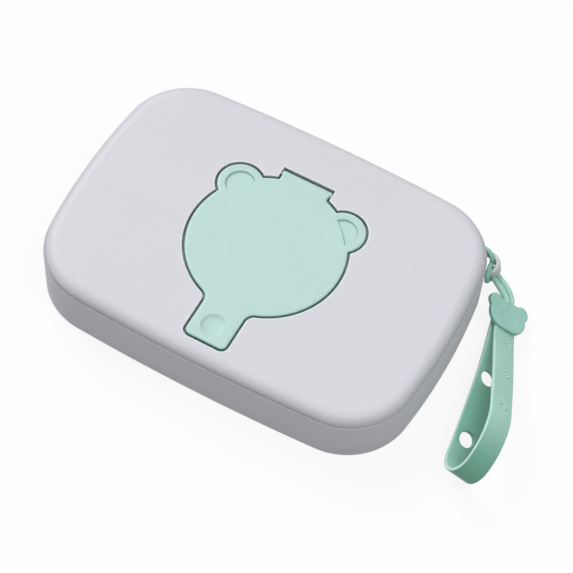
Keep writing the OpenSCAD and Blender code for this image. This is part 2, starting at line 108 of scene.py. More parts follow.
class Finish:  # a material or the world, and its nodes
    def __init__(self, owner, **fixed):
        if isinstance(owner, str):
            owner = bpy.data.materials.new(owner)
            owner.use_nodes = True
        self.material, self.tree = owner, owner.node_tree
        self.shader = self.tree.nodes.get("Principled BSDF")
        self.place = self.add("ShaderNodeTexCoord", {}, {}, "Object")
        for socket, value in fixed.items():
            self.feed(self.shader.inputs[socket.replace("_", " ")], value)

    def add(self, kind, settings, sockets, output=0):
        node = self.tree.nodes.new(kind)
        for key, value in settings.items():
            setattr(node, key, value)
        for key, value in sockets.items():
            self.feed(node.inputs[key], value)
        return Wire(self, node.outputs[output])

    def feed(self, socket, value):
        if isinstance(value, Wire):
            self.tree.links.new(value.socket, socket)
        elif socket.type == "RGBA":
            socket.default_value = (*value[:3], 1)
        else:
            socket.default_value = value

    def noise(self, scale, detail=2, roughness=0.5):
        return self.add("ShaderNodeTexNoise", {},
                        {"Vector": self.place, "Scale": scale, "Detail": detail, "Roughness": roughness})

    def band(self, wire, low, high, toLow=0, toHigh=1):  # stretches a narrow range to a wide one
        return self.add("ShaderNodeMapRange", {}, {0: wire, 1: low, 2: high, 3: toLow, 4: toHigh})

    def patches(self, noise):  # slow changes of colour
        return self.band(noise, 0.35, 0.65)

    def edges(self, colour, paintedShade, paintedHighlight):  # painted shade deep in a gap (+1), painted highlight on an exposed edge (-1)
        deep = self.add("ShaderNodeAttribute", {"attribute_name": "deep"}, {}, 2)
        colour = self.blend(self.band(deep, 0, 1) * paintedShade[0], colour, paintedShade[1:])
        return self.blend(self.band(deep, 0, -1) * paintedHighlight[0], colour, paintedHighlight[1:])

    def blend(self, amount, first, second):
        return self.add("ShaderNodeMix", {"data_type": "RGBA"}, {0: amount, 6: first, 7: second}, 2)

    def shade(self, colour, roughness, bumps):
        self.feed(self.shader.inputs["Base Color"], colour)
        self.feed(self.shader.inputs["Roughness"], roughness)
        normal = None
        for height, depth in bumps:
            sockets = {"Height": height, "Strength": 1.0, "Distance": depth}
            if normal:
                sockets["Normal"] = normal
            normal = self.add("ShaderNodeBump", {}, sockets)
        if normal:
            self.feed(self.shader.inputs["Normal"], normal)
        return self.material


def moulding(name, look):  # textured moulded plastic: grain, fine grain, cloudy colour
    finish = Finish(name, Specular_IOR_Level=look["gloss"])
    grain = finish.noise(look["grain"], 3, 0.6)
    fine = finish.noise(look["fine"])
    cloud = finish.patches(finish.noise(look["cloudScale"], 3))
    grainShade = finish.band(grain, 0.62, 0.38)  # painted shade in the hollows of the grain
    colour = finish.blend(cloud * look["cloudShare"], look["colour"], look["cloud"])
    colour = finish.blend(grainShade * look["grainShadeShare"], colour, look["grainShade"])
    # painted shade in gaps and painted highlight on edges, set by the deep attribute
    colour = finish.edges(colour, look["paintedShade"], look["paintedHighlight"])
    rough = look["rough"] + look["roughGrain"] * finish.band(grain, 0.3, 0.7) - look["roughCloud"] * cloud
    return finish.shade(colour, rough, [(grain, look["grainDepth"]), (fine, look["fineDepth"])])


def silicone(name, colour, deep):  # soft and matt, with slow waves and a little dust
    look = {"gloss": 0.28, "rough": 0.50, "roughDust": 0.12, "roughGrain": 0.06,
            "grain": 2600, "grainDepth": 0.000010, "wave": 70, "waveDepth": 0.00012, "waveShare": 0.7,
            "dust": 700, "dustShare": 0.12, "dustColour": (0.75, 0.85, 0.82),
            # the last two entries are the painted shade and painted highlight colours
            "paintedShade": (0.85, 0.085, 0.36, 0.22), "paintedHighlight": (0.8, 0.66, 0.86, 0.79)}
    finish = Finish(name, Specular_IOR_Level=look["gloss"])
    grain = finish.noise(look["grain"])
    wave = finish.noise(look["wave"])
    dust = finish.band(finish.noise(look["dust"], 4, 0.65), 0.62, 0.78)
    tone = finish.blend(finish.patches(wave) * look["waveShare"], colour, deep)
    tone = finish.blend(dust * look["dustShare"], tone, look["dustColour"])
    # painted shade in gaps and painted highlight on edges, set by the deep attribute
    tone = finish.edges(tone, look["paintedShade"], look["paintedHighlight"])
    return finish.shade(tone, look["rough"] + look["roughDust"] * dust + look["roughGrain"] * grain,
                        [(wave, look["waveDepth"]), (grain, look["grainDepth"])])


def smoothPlastic(name, look):  # a smooth small moulding
    finish = Finish(name, Specular_IOR_Level=look["gloss"])
    grain = finish.noise(look["grain"], 3)
    colour = finish.blend(finish.patches(finish.noise(look["cloudScale"])), look["colour"], look["cloud"])
    return finish.shade(colour, look["rough"] + look["roughGrain"] * grain, [(grain, look["grainDepth"])])


def turnedSteel(name, look):  # lines round the pin, which lies along X
    finish = Finish(name, Metallic=1.0)
    turned = finish.add("ShaderNodeMapping", {}, {"Vector": finish.place, "Scale": look["stretch"]})
    lines = finish.add("ShaderNodeTexNoise", {}, {"Vector": turned, "Scale": look["lines"], "Detail": 3})
    colour = finish.blend(lines, look["colour"], look["worn"])
    return finish.shade(colour, look["rough"] + look["roughLines"] * lines, [(lines, look["depth"])])


shellLook = moulding("lilacShell", {
    "colour": (0.675, 0.680, 0.725), "cloud": (0.653, 0.658, 0.705), "cloudScale": 26, "cloudShare": 0.5,
    "grainShade": (0.595, 0.600, 0.650), "grainShadeShare": 0.30, "gloss": 0.36, "rough": 0.46, "roughGrain": 0.10,
    "roughCloud": 0.03, "grain": 1000, "grainDepth": 0.000060, "fine": 4200, "fineDepth": 0.000009,
    "paintedShade": (0.68, 0.015, 0.06, 0.045), "paintedHighlight": (0.75, 0.82, 0.82, 0.86),
})
lidLook = moulding("mintLid", {
    "colour": (0.508, 0.702, 0.662), "cloud": (0.484, 0.680, 0.638), "cloudScale": 34, "cloudShare": 0.6,
    "grainShade": (0.41, 0.60, 0.555), "grainShadeShare": 0.30, "gloss": 0.38, "rough": 0.44, "roughGrain": 0.10,
    "roughCloud": 0, "grain": 900, "grainDepth": 0.000090, "fine": 5200, "fineDepth": 0.000006,
    "paintedShade": (0.95, 0.0, 0.19, 0.105), "paintedHighlight": (0.6, 0.64, 0.83, 0.79),
})
bandLook = silicone("mintSilicone", (0.430, 0.718, 0.625), (0.402, 0.690, 0.590))
# a darker copy of the band's silicone: painted shade for the hitch, which lies in shade under the ring
shadedHitchLook = silicone("mintSiliconeHitchShaded", (0.300, 0.610, 0.490), (0.275, 0.580, 0.455))
headLook = silicone("mintSiliconeHead", (0.402, 0.715, 0.635), (0.378, 0.685, 0.600))
whiteLook = smoothPlastic("whitePlastic", {
    "colour": (0.60, 0.61, 0.62), "cloud": (0.555, 0.565, 0.58), "cloudScale": 90, "gloss": 0.5,
    "rough": 0.36, "roughGrain": 0.10, "grain": 1400, "grainDepth": 0.000012,
})
sealLook = smoothPlastic("sealSilicone", {
    "colour": (0.74, 0.78, 0.775), "cloud": (0.69, 0.74, 0.735), "cloudScale": 120, "gloss": 0.35,
    "rough": 0.42, "roughGrain": 0.14, "grain": 1800, "grainDepth": 0.000012,
})
steelLook = turnedSteel("pinSteel", {
    "colour": (0.60, 0.61, 0.63), "worn": (0.48, 0.49, 0.51), "stretch": (900, 60, 60), "lines": 4.0,
    "rough": 0.24, "roughLines": 0.16, "depth": 0.000004,
})
print("materials ready")


class Skin:  # a surface that grows ring by ring
    def __init__(self):
        self.bm = bmesh.new()
        self.stepOf = self.bm.verts.layers.int.new("step")
        # painted shade (+) and painted highlight (-) per vertex
        self.paintedLightOf = self.bm.verts.layers.float.new("deep")

    def ring(self, count, place, *where):  # a new ring, put where place says for each step
        made = bmesh.ops.create_circle(self.bm, cap_ends=False, radius=1, segments=count)["verts"]
        for step, vert in enumerate(made):
            vert[self.stepOf] = step
            vert.co = place(step, *where)
        return list({edge for vert in made for edge in vert.link_edges})

    def grow(self, edges, place, deep=0):  # the next ring, joined to the one before
        made = bmesh.ops.extrude_edge_only(self.bm, edges=edges)["geom"]
        fresh = {item for item in made if isinstance(item, bmesh.types.BMVert)}
        for vert in fresh:
            vert.co = place(vert[self.stepOf])
            vert[self.paintedLightOf] = deep
        return [item for item in made if isinstance(item, bmesh.types.BMEdge)
                and item.verts[0] in fresh and item.verts[1] in fresh]

    def sweep(self, edges, profile, spot):  # a ring's third number is its painted shading, +1 for painted shade in a gap to -1 for a painted highlight
        for out, z, *deep in profile:
            edges = self.grow(edges, lambda step: spot(step, out, z), deep[0] if deep else 0)
        return edges

    def fill(self, *rings):
        edges = [edge for ring in rings for edge in ring]
        bmesh.ops.triangle_fill(self.bm, edges=edges, use_beauty=True, use_dissolve=False, normal=(0, 0, 1))

    def weld(self, *rings):
        verts = {vert for ring in rings for edge in ring for vert in edge.verts}
        bmesh.ops.remove_doubles(self.bm, verts=list(verts), dist=0.0005)


def arcOf(centre, radius, first, last, count):
    turns = [math.radians(first + (last - first) * i / count) for i in range(count + 1)]
    return [(centre[0] + radius * math.cos(turn), centre[1] + radius * math.sin(turn)) for turn in turns]


def rounded(edge, top, paintedShading, side=1):  # quarter round from the top down; side -1 faces inward
    turns = [math.radians(90 * i / (len(paintedShading) - 1)) for i in range(len(paintedShading))]
    return [(side * edge * (math.sin(turn) - 1), top + edge * (math.cos(turn) - 1), tone)
            for turn, tone in zip(turns, paintedShading)]


def softened(bm, edges, edge):
    made = bmesh.ops.bevel(bm, geom=list(edges), offset=edge, offset_type="OFFSET", segments=3, profile=0.5,
                           affect="EDGES", material=-1)
    return {vert for face in made["faces"] for vert in face.verts}


def softBox(bm, low, high, edge):  # a block with rounded edges
    low, high = Vector(low), Vector(high)
    verts = bmesh.ops.create_cube(bm, size=1)["verts"]
    bmesh.ops.scale(bm, vec=high - low, verts=verts)
    bmesh.ops.translate(bm, vec=(high + low) / 2, verts=verts)
    if edge:
        softened(bm, {e for v in verts for e in v.link_edges}, edge)


def softRod(bm, place, radius, length, edge):  # a rod along the local Z of place, with rounded ends
    verts = bmesh.ops.create_cone(bm, cap_ends=True, segments=64, radius1=radius, radius2=radius,
                                  depth=length)["verts"]
    if edge:
        rims = {e for v in verts for f in v.link_faces if len(f.verts) > 4 for e in f.edges}
        verts = list(softened(bm, rims, edge) | {v for v in verts if v.is_valid})
    bmesh.ops.transform(bm, matrix=place, verts=verts)


def alongX(x, y, z):
    return Matrix.Translation((x, y, z)) @ turned(90, "Y")


def meshOf(name, bm):
    mesh = bpy.data.meshes.new(name)
    bm.to_mesh(mesh)
    bm.free()
    return mesh


def cut(bm, cutters, joined=None, edge=0):  # joins a shape, cuts another away and softens the rims
    bmesh.ops.recalc_face_normals(bm, faces=bm.faces)
    body = placed("body", meshOf("body", bm))
    tools = []
    for operation, tool in (("UNION", joined), ("DIFFERENCE", cutters)):
        if tool is None:
            continue
        other = placed("tool", meshOf("tool", tool))
        change = body.modifiers.new("change", "BOOLEAN")
        change.operation, change.object, change.solver, change.use_self = operation, other, "EXACT", True
        tools.append(other)
    if edge:
        soften = body.modifiers.new("soften", "BEVEL")
        soften.width, soften.segments, soften.limit_method = edge, 2, "ANGLE"
        soften.angle_limit = math.radians(55)
    bpy.context.view_layer.update()
    done = body.evaluated_get(bpy.context.evaluated_depsgraph_get())
    result = bmesh.new()
    result.from_mesh(done.to_mesh())
    done.to_mesh_clear()
    for thing in [body] + tools:
        bpy.data.objects.remove(thing)
    return result


def piece(bm, name, body, look, nodes, place=Matrix(), sharp=38):
    bmesh.ops.transform(bm, matrix=Matrix.Scale(mm, 4) @ place, verts=bm.verts)
    bmesh.ops.recalc_face_normals(bm, faces=bm.faces)
    for face in bm.faces:
        face.smooth = True
    mesh = meshOf(name, bm)
    mesh.set_sharp_from_angle(angle=math.radians(sharp))
    mesh.materials.append(look)
    made = placed(name, mesh)
    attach(made, body)
    if nodes:
        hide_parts(*nodes)
    print(name, len(mesh.polygons), "faces")


case = {  # outline shared by tray and cover
    "length": 190, "width": 134.8, "corner": 32.9, "bowLong": 1.7, "bowShort": 2.1,
    "shortSteps": 16, "cornerSteps": 30, "longSteps": 24,
}


def caseRim():  # centre, radius and direction of every step round the case
    inX = case["length"] / 2 - case["corner"] - case["bowShort"]
    inY = case["width"] / 2 - case["corner"] - case["bowLong"]
    longR = (inX ** 2 + case["bowLong"] ** 2) / (2 * case["bowLong"])
    shortR = (inY ** 2 + case["bowShort"] ** 2) / (2 * case["bowShort"])
    longHalf = math.degrees(math.asin(inX / longR))
    shortHalf = math.degrees(math.asin(inY / shortR))
    longC, shortC = inY + case["bowLong"] - longR, inX + case["bowShort"] - shortR
    bend = 90 - longHalf - shortHalf
    arcs = []
    for sx, sy, first in ((1, 1, 0), (-1, 1, 90), (-1, -1, 180), (1, -1, 270)):
        if first % 180 == 0:
            half = shortHalf
            arcs.append((sx * shortC, 0, shortR, first - half, 2 * half, case["shortSteps"]))
        else:
            half = longHalf
            arcs.append((0, sy * longC, longR, first - half, 2 * half, case["longSteps"]))
        arcs.append((sx * inX, sy * inY, 0, first + half, bend, case["cornerSteps"]))
    return [(x, y, r + case["corner"], math.radians(first + turn * i / steps))
            for x, y, r, first, turn, steps in arcs for i in range(steps)]


rim = caseRim()


def caseSpot(step, out, z):
    x, y, radius, angle = rim[step]
    return Vector((x + (radius + out) * math.cos(angle), y + (radius + out) * math.sin(angle), z))


lidForm = {  # outline shared by the lid, its recess and the floor under it
    "radius": 37.7, "earRadius": 11.3, "earAt": 35.9, "earAngle": 41.7, "rootRadius": 5, "steps": 1080,
    "thumbWidth": 21.6, "thumbReach": 57.6, "thumbCorner": 3.3, "tabWidth": 25.6, "tabReach": 39.6,
    "drawnIn": 0.22, "shift": (-0.05, 0.11, 0), "thumbOut": 0.28,  # how the lid lies in its recess
}


def ballHits(angle, x, y, radius):  # where a ray from the middle enters and leaves a circle
    along = x * math.cos(angle) + y * math.sin(angle)
    room = radius ** 2 - (x * math.sin(angle) - y * math.cos(angle)) ** 2
    half = math.sqrt(room) if room > 0 else -along  # a miss counts as leaving at the middle
    return along - half, along + half


def ballFar(angle, x, y, radius):
    return ballHits(angle, x, y, radius)[1]


def boxFar(angle, half, reach):
    across, along = abs(math.cos(angle)), abs(math.sin(angle))
    return min(half / max(across, 1e-9), reach / max(along, 1e-9))


def lidReach(angle, grow, front, back):
    ears = math.radians(lidForm["earAngle"])
    far = lidForm["radius"] + grow
    for turn in (ears, math.pi - ears):
        far = max(far, ballFar(angle, lidForm["earAt"] * math.cos(turn), lidForm["earAt"] * math.sin(turn),
                               lidForm["earRadius"] + grow))
    if math.sin(angle) > 0:
        return max(far, boxFar(angle, lidForm["tabWidth"] / 2 + grow, lidForm["tabReach"] + back))
    half, corner = lidForm["thumbWidth"] / 2 + grow, lidForm["thumbCorner"] + grow
    reach = lidForm["thumbReach"] + front
    far = max(far, boxFar(angle, half, reach - corner), boxFar(angle, half - corner, reach))
    rootX = lidForm["thumbWidth"] / 2 + lidForm["rootRadius"]
    rootY = -math.sqrt((lidForm["radius"] + lidForm["rootRadius"]) ** 2 - rootX ** 2)
    for side in (-1, 1):
        far = max(far, ballFar(angle, side * (half - corner), corner - reach, corner))
        if side * math.cos(angle) > 0 and -math.sin(angle) / abs(math.cos(angle)) >= -rootY / rootX:
            near, away = ballHits(angle, side * rootX, rootY, lidForm["rootRadius"] - grow)
            far = max(far, near if away > 0 else 0)
    return far


def polarSpot(step, grow, front, back, z):
    angle = 2 * math.pi * (step + 0.5) / lidForm["steps"]
    reach = lidReach(angle, grow, front, back)
    return Vector((reach * math.cos(angle), reach * math.sin(angle), z))


def lidSpot(step, out, z):
    grow = out - lidForm["drawnIn"]
    return polarSpot(step, grow, grow + lidForm["thumbOut"], grow, z) + Vector(lidForm["shift"])


roundSteps = 144  # of the circles under the lid


def circleSpot(count, x=0, y=0):
    def spot(step, radius, z):
        angle = 2 * math.pi * step / count
        return Vector((x + radius * math.cos(angle), y + radius * math.sin(angle), z))
    return spot


def frameSpots(halfX, halfY, corner, per):  # points and outward directions of a rounded rectangle
    spots = []
    for i, (sx, sy) in enumerate(((1, 1), (-1, 1), (-1, -1), (1, -1))):
        for k in range(per + 1):
            angle = math.radians(90 * i + 90 * k / per)
            way = Vector((math.cos(angle), math.sin(angle)))
            spots.append((Vector((sx * (halfX - corner), sy * (halfY - corner))) + corner * way, way))
    return spots


tray = {
    "wall": 2, "floor": 2, "foot": 1.5, "inner": 1.2, "seam": 26, "rim": 0.4, "paintedRimShade": 0.3,
    "lipOut": 2.5, "lip": 0.9, "lipTop": 27.2, "lipSoft": [(0, 0.2), (0.06, 0.06), (0.2, 0)],
    "lipRoot": 21.9, "rootEnd": 20,
    "station": 35, "hingeY": 66.5, "hingeZ": 21, "hingeRadius": 1.8, "hingeSpan": 16.8, "hingeEdge": 0.3,
    "blockY": (62.4, 66.2), "blockLow": 16.8, "boreRadius": 0.91, "boreLength": 16.1,
    "pocket": 10.8, "pocketLow": (64.4, 18.8), "pocketHigh": (80, 40),
}


def makeTray():
    skin = Skin()
    wall, foot, seam, edge = tray["wall"], tray["foot"], tray["seam"], tray["rim"]
    lipOut, lipIn, inner = tray["lipOut"], tray["lipOut"] + tray["lip"], tray["inner"]
    bottom = skin.ring(len(rim), caseSpot, -foot - 1, 0)
    profile = arcOf((-foot, foot), foot, -90, 0, 8)
    # painted shade on the top of the rim, under the seam
    profile += [(out, z, tray["paintedRimShade"] * (z - seam + edge) / edge)
                for out, z in arcOf((-edge, seam - edge), edge, 0, 90, 6)]
    profile += [(-lipOut + 0.12, seam), (-lipOut, seam + 0.1)]
    profile += [(-lipOut - side, tray["lipTop"] - down) for side, down in tray["lipSoft"]]
    profile += [(-lipIn + side, tray["lipTop"] - down) for side, down in reversed(tray["lipSoft"])]
    profile += [(-lipIn, tray["lipRoot"]), (-wall, tray["rootEnd"])]
    profile += arcOf((-wall - inner, tray["floor"] + inner), inner, 0, -90, 6)
    profile += [(-wall - inner - 1, tray["floor"])]
    top = skin.sweep(bottom, profile, caseSpot)
    skin.fill(bottom)
    skin.fill(top)
    joined, cutters = bmesh.new(), bmesh.new()
    half, pocket, (near, far) = tray["hingeSpan"] / 2, tray["pocket"] / 2, tray["blockY"]
    for x in (-tray["station"], tray["station"]):
        place = alongX(x, tray["hingeY"], tray["hingeZ"])
        softBox(joined, (x - half, near, tray["blockLow"]), (x + half, far, seam - 0.02), 0)
        softRod(joined, place, tray["hingeRadius"], 2 * half, tray["hingeEdge"])
        softBox(cutters, (x - pocket, *tray["pocketLow"]), (x + pocket, *tray["pocketHigh"]), 0)
        softRod(cutters, place, tray["boreRadius"], tray["boreLength"], 0)
    return cut(skin.bm, cutters, joined)


piece(makeTray(), "caseTray", "base", shellLook, ["base_tray"], sharp=32)


cover = {
    "bottom": 26.3, "skirt": 2.2, "top": 31, "under": 28.8,
    "edgeRadius": 7.2, "edgeIn": 6.7, "edgeArc": (48, 90, 14), "sideRadius": 4.0, "sideArc": (10, 45, 8),
    # the foot's third numbers are painted shade at the seam; the shade numbers paint the lower shoulder
    # darker towards it
    "foot": [(-0.85, 0), (-0.68, 0.04), (-0.56, 0.14, 0.2), (-0.49, 0.40, 0.25)],
    "shade": 0.25, "shadeFrom": 28.2, "shadeTo": 30.6,
    "gap": 0.55, "frontGap": 1.0, "backGap": 2.4, "sill": 28.4, "lipRadius": 0.35,
    # painted highlight on the recess lip, painted shade down its wall, foot and ledge
    "paintedLipShading": (-0.6, -0.8, -0.9, -0.6, 0, 0.2, 0.35), "paintedRecessShades": (0.45, 1, 0.6),
    "wellY": 37.2, "wellZ": 27.1, "panGrow": 3.0, "panZ": 26.4,
    "hole": 19, "flange": 21.3, "flangeZ": 27.5, "grooveIn": 23.7, "grooveOut": 26.7, "grooveZ": 27.3,
    "slotY": -50.3, "slotHalf": (4.6, 1.2), "slotCorner": 0.4, "slotZ": 26.8,
    "inside": [(-11.2, 28.8), (-10.7, 28.78), (-3.7, 28.1), (-2.5, 27.87), (-2.2, 27.7)],
    "wellBlock": ((-15.8, 35.5, 25.4), (15.8, 43.7, 26.6)),
    "slotBlock": ((-6, -52.9, 25.4), (6, -47.7, 26.6)),
    "tabHalf": 5, "tabY": (64.7, 66.2), "tabTop": 27.3, "tabEdge": 0.2, "barrelEdge": 0.25, "blockEdge": 0.3,
}


def recessSpot(step, out, z):
    return polarSpot(step, cover["gap"] + out, cover["frontGap"] + out, cover["backGap"] + out, z)


def panSpot(step, out, z):
    grow = cover["gap"] + cover["panGrow"] + out
    return polarSpot(step, grow, grow, cover["backGap"] + cover["panGrow"] + out, z)


def wellPlaces(steps):  # where the well's steps stand along its front edge
    spots = [recessSpot(step, 0, 0) for step in range(steps)]
    inside = [step for step, spot in enumerate(spots) if spot.y > cover["wellY"] + 0.05
              and abs(spot.x) < lidForm["tabWidth"] / 2 + cover["gap"] + 0.01]
    half = lidForm["tabWidth"] / 2 + cover["gap"]
    return {step: half - 2 * half * i / (len(inside) - 1) for i, step in enumerate(inside)}


def makeCover():
    skin = Skin()
    bottom, skirt, top, sill, under = (cover[key] for key in ("bottom", "skirt", "top", "sill", "under"))
    start = skin.ring(len(rim), caseSpot, -skirt, bottom + 0.1)
    profile = [(-skirt + 0.1, bottom)] + [(out, bottom + up, *tone) for out, up, *tone in cover["foot"]]
    large, small, edgeIn = cover["edgeRadius"], cover["sideRadius"], cover["edgeIn"]
    inward = (large - small) * math.sqrt(0.5)  # the edge is a large arc above and a smaller one below
    side = arcOf((-edgeIn + inward, top - large + inward), small, *cover["sideArc"])
    side += arcOf((-edgeIn, top - large), large, *cover["edgeArc"])
    # painted shade on the lower shoulder, darker towards the seam
    low, high, tone = cover["shadeFrom"], cover["shadeTo"], cover["shade"]
    profile += [(out, z, tone * min(max((high - z) / (high - low), 0), 1)) for out, z in side]
    shoulder = skin.sweep(start, profile + [(-edgeIn - 0.3, top)], caseSpot)

    steps, lip = lidForm["steps"], cover["lipRadius"]
    # painted highlight on the lip, painted shade down the wall in the gap
    paintedWallShade, paintedFootShade, paintedLedgeShade = cover["paintedRecessShades"]
    mouth = skin.ring(steps, recessSpot, lip + 0.7, top)
    rounding = [(lip + 0.3, top, cover["paintedLipShading"][0])] + rounded(lip, top, cover["paintedLipShading"], -1)
    wall = skin.sweep(mouth, rounding + [(0, top - lip - 0.3, paintedWallShade)], recessSpot)
    skin.fill(shoulder, mouth)
    well = wellPlaces(steps)

    def footSpot(step, out, z):
        return recessSpot(step, 0, cover["wellZ"] if step in well else z)

    def ledgeSpot(step, out, z):
        if step in well:
            return Vector((well[step], cover["wellY"], cover["wellZ"] if out == 0 else sill))
        return recessSpot(step, -0.25 if out == 0 else -0.5, z)

    wall = skin.sweep(wall, [(0, sill + 0.15, paintedFootShade)], footSpot)
    wall = skin.sweep(wall, [(0, sill, paintedLedgeShade), (1, sill)], ledgeSpot)

    grooveOut, grooveIn, grooveZ, flange, flangeZ, hole, panZ = (
        cover[key] for key in ("grooveOut", "grooveIn", "grooveZ", "flange", "flangeZ", "hole", "panZ"))
    around = circleSpot(roundSteps)
    groove = skin.ring(roundSteps, around, grooveOut + 0.1, sill)
    bore = [(grooveOut, sill - 0.1), (grooveOut, grooveZ), (grooveIn, grooveZ), (grooveIn, sill - 0.1),
            (grooveIn - 0.1, sill), (flange + 0.1, sill), (flange, sill - 0.1), (flange, flangeZ),
            (hole, flangeZ), (hole, panZ + 0.2), (hole + 0.2, panZ)]
    neck = skin.sweep(groove, bore, around)
    corners = frameSpots(*cover["slotHalf"], cover["slotCorner"], 4)

    def slotSpot(step, out, z):
        spot, way = corners[step]
        return Vector((spot.x + out * way.x, cover["slotY"] + spot.y + out * way.y, z))

    slot = skin.ring(len(corners), slotSpot, 0.15, sill)
    slotEnd = skin.sweep(slot, [(0.04, sill - 0.05), (0, sill - 0.15), (0, cover["slotZ"])], slotSpot)
    skin.fill(slotEnd)
    skin.fill(wall, groove, slot)

    pan = skin.ring(steps, panSpot, -0.3, panZ)
    panTop = skin.sweep(pan, [(-0.09, panZ + 0.09), (0, panZ + 0.3), (0, under - 0.3), (0.09, under - 0.09),
                              (0.3, under)], panSpot)
    skin.fill(pan, neck)
    inside = skin.ring(len(rim), caseSpot, *cover["inside"][0])
    skin.fill(panTop, inside)
    end = skin.sweep(inside, cover["inside"][1:] + [(-skirt, bottom + 0.1)], caseSpot)
    skin.weld(start, end)
    bm = skin.bm
    softBox(bm, *cover["wellBlock"], cover["blockEdge"])
    softBox(bm, *cover["slotBlock"], cover["blockEdge"])
    half, (near, far), z = cover["tabHalf"], cover["tabY"], tray["hingeZ"]
    for x in (-tray["station"], tray["station"]):
        softBox(bm, (x - half, near, z), (x + half, far, cover["tabTop"]), cover["tabEdge"])
        softRod(bm, alongX(x, tray["hingeY"], z), tray["hingeRadius"], 2 * half, cover["barrelEdge"])
    return bm


piece(makeCover(), "caseCover", "cover", shellLook, ["top_cover"], sharp=34)


lid = {
    # the rounding's numbers paint a highlight on the upper edge and shade down the side in the gap
    "low": 28.7, "top": 31, "edge": 1.5, "underEdge": 0.2, "paintedShading": (-0.2, -0.6, -0.6, 0.15, 0.85, 1, 1),
    "grooveIn": 24.0, "grooveOut": 26.4, "grooveZ": 29.3,
    "insetMiddle": 39.25, "insetRadius": 6.8, "insetInner": 35.8, "insetDepth": 1.1, "insetSteps": 180,
    "dimpleY": -48.3, "dimpleRadius": 5.85, "dimpleDepth": 1.45, "dimpleSteps": 96,
    "bowl": (0.95, 0.9, 0.84, 0.77, 0.68, 0.55, 0.38, 0.2, 0.08),
    "barrel": 1.7, "barrelY": 39.4, "barrelZ": 29.1, "barrelEdge": 0.25,
    "tongue": ((-4, -50.9, 27.4), (4, -49.7, 28.9)), "tongueEdge": 0.3,
}


def insetReach(angle, grow):  # half-moon in each ear, seen from its own middle
    at = lid["insetMiddle"]
    far = ballFar(angle, lidForm["earAt"] - at, 0, lid["insetRadius"] + grow)
    near, away = ballHits(angle, -at, 0, lid["insetInner"] - grow)
    return min(far, near) if away > 0 else far


def insetSpot(side):
    def spot(step, out, z):
        angle = 2 * math.pi * (step + 0.5) / lid["insetSteps"]
        reach = insetReach(angle, out)
        x, y = lid["insetMiddle"] + reach * math.cos(angle), reach * math.sin(angle)
        inEar = turned(lidForm["earAngle"], "Z") @ Vector((x, y, z))
        return Vector((side * inEar.x, inEar.y, z))
    return spot


def makeLid():
    skin = Skin()
    steps, top, low, edge, under = lidForm["steps"], lid["top"], lid["low"], lid["edge"], lid["underEdge"]
    crown = skin.ring(steps, lidSpot, -edge - 0.35, top)
    rounding = rounded(edge, top, lid["paintedShading"])
    # painted shade on the lid's side wall and under its edge
    rounding += [(0, low + under, 1), (-0.3 * under, low + 0.3 * under), (-under, low)]
    foot = skin.sweep(crown, rounding, lidSpot)

    openings = []
    depth = top - lid["insetDepth"]
    # painted highlight on the inset rims and painted shade at their foot
    walls = [(0.55, top, -0.4), (0.38, top - 0.06, -0.4), (0.22, top - 0.26), (0.02, depth + 0.25, 0.4),
             (-0.12, depth + 0.06, 0.4), (-0.34, depth, 0.15), (-0.8, depth)]
    for side in (-1, 1):
        spot = insetSpot(side)
        mouth = skin.ring(lid["insetSteps"], spot, 0.75, top)
        skin.fill(skin.sweep(mouth, walls, spot))
        openings.append(mouth)

    around = circleSpot(lid["dimpleSteps"], 0, lid["dimpleY"])
    radius, depth = lid["dimpleRadius"], lid["dimpleDepth"]
    bowl = [(radius + 0.25, top), (radius + 0.08, top - 0.03), (radius - 0.08, top - 0.1)]
    bowl += [(radius * part, top - depth * (1 - part ** 5)) for part in lid["bowl"]]
    mouth = skin.ring(lid["dimpleSteps"], around, radius + 0.6, top)
    skin.fill(skin.sweep(mouth, bowl, around))
    openings.append(mouth)
    skin.fill(crown, *openings)

    around = circleSpot(roundSteps)
    grooveOut, grooveIn, grooveZ = lid["grooveOut"], lid["grooveIn"], lid["grooveZ"]
    groove = skin.ring(roundSteps, around, grooveOut, low)
    skin.fill(skin.sweep(groove, [(grooveOut, grooveZ), (grooveIn, grooveZ), (grooveIn, low)], around))
    skin.fill(foot, groove)
    bm = skin.bm
    place = alongX(0, lid["barrelY"], lid["barrelZ"])
    softRod(bm, place, lid["barrel"], lidForm["tabWidth"], lid["barrelEdge"])
    softBox(bm, *lid["tongue"], lid["tongueEdge"])
    return bm


piece(makeLid(), "flipLid", "lid", lidLook, ["flip_lid"], sharp=36)


def loopOf(bm, spots):  # the vertices and edges of a closed line
    verts = [bm.verts.new(spot) for spot in spots]
    return verts, [bm.edges.new((verts[i], verts[(i + 1) % len(verts)])) for i in range(len(verts))]


def spun(profile):  # a closed profile of (radius, height) spun about Z
    bm = bmesh.new()
    verts, edges = loopOf(bm, [(r, 0, z) for r, z in profile])
    bmesh.ops.spin(bm, geom=verts + edges, cent=(0, 0, 0), axis=(0, 0, 1), angle=2 * math.pi,
                   steps=roundSteps, use_merge=True, use_duplicate=False)
    bmesh.ops.remove_doubles(bm, verts=bm.verts, dist=0.0005)
    return bm


